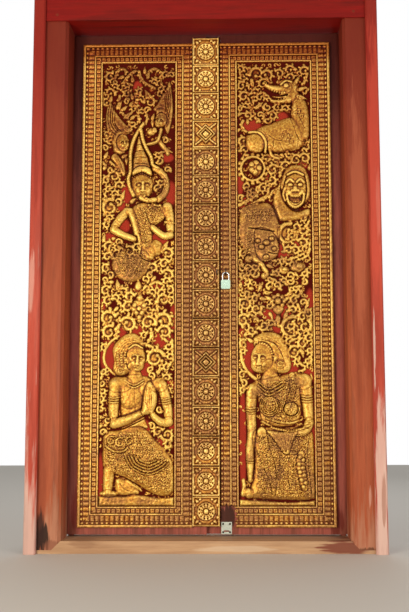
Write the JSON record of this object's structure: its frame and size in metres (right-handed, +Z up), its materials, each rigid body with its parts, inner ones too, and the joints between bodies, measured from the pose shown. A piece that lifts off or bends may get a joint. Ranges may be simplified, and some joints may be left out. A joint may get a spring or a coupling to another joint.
{
  "type": "carved temple door",
  "caption": "Two-leaf carved and gilded temple door in a painted timber frame, with pivot hinges, a carved centre batten, back ledges and a hanging padlock",
  "frame": {"origin": "underside of the sill, in the middle of its width, in the plane of the leaf boards' front faces", "axes": "+X to the right seen from the front, +Y towards the back of the door, +Z up; the carved front faces -Y"},
  "size_m": [1.65, 0.265, 2.726],
  "materials": {
    "frame_paint": "brick-red paint on timber, faded, chipped at the arrises",
    "strip_paint": "lighter red paint, worn to pale pink near the floor",
    "leaf_paint": "dull dark red paint with near-black stains",
    "bare_timber": "bare worn timber with remains of red",
    "gilding": "carved timber, gilded over red, worn brown on its high places",
    "forged_iron": "forged iron, dull and lightly rusted",
    "lock_paint": "pale green painted lock body, scuffed",
    "lock_steel": "hardened steel shackle, bright",
    "plate_metal": "thin pale sheet metal, weathered"
  },
  "bodies": {
    "frame": {"left_jamb": "frame_paint", "right_jamb": "frame_paint", "sill": "bare_timber", "lintel": "frame_paint", "frame_pegs": "frame_paint", "left_architrave": "strip_paint", "right_architrave": "strip_paint", "head_architrave": "strip_paint"},
    "left_leaf": {"left_leaf_board": "leaf_paint", "left_meeting_strip": "bare_timber", "left_lower_ledge": "bare_timber", "left_upper_ledge": "bare_timber", "left_ledge_nails": "forged_iron", "left_border_hinge": "gilding", "left_border_meeting": "gilding", "left_border_top": "gilding", "left_border_bottom": "gilding", "left_carved_panel": "gilding", "centre_batten": "gilding", "left_staple": "forged_iron"},
    "right_leaf": {"right_leaf_board": "leaf_paint", "right_lower_ledge": "bare_timber", "right_upper_ledge": "bare_timber", "right_ledge_nails": "forged_iron", "right_border_hinge": "gilding", "right_border_meeting": "gilding", "right_border_top": "gilding", "right_border_bottom": "gilding", "right_carved_panel": "gilding", "right_staple": "forged_iron", "padlock_body": "lock_paint", "mending_plate": "plate_metal", "plate_nails": "forged_iron"},
    "shackle": {"padlock_shackle": "lock_steel"}
  },
  "joints": [
    {"name": "left_leaf_hinge", "type": "hinge", "parent": "frame", "child": "left_leaf", "pos_m": [-0.645, 0.028, 0], "axis": [0, 0, 1], "range_deg": [0, 95]},
    {"name": "right_leaf_hinge", "type": "hinge", "parent": "frame", "child": "right_leaf", "pos_m": [0.645, 0.028, 0], "axis": [0, 0, -1], "range_deg": [0, 95]},
    {"name": "shackle_slide", "type": "slide", "parent": "right_leaf", "child": "shackle", "axis": [0, 0, 1], "range_m": [0, 0.008]}
  ]
}
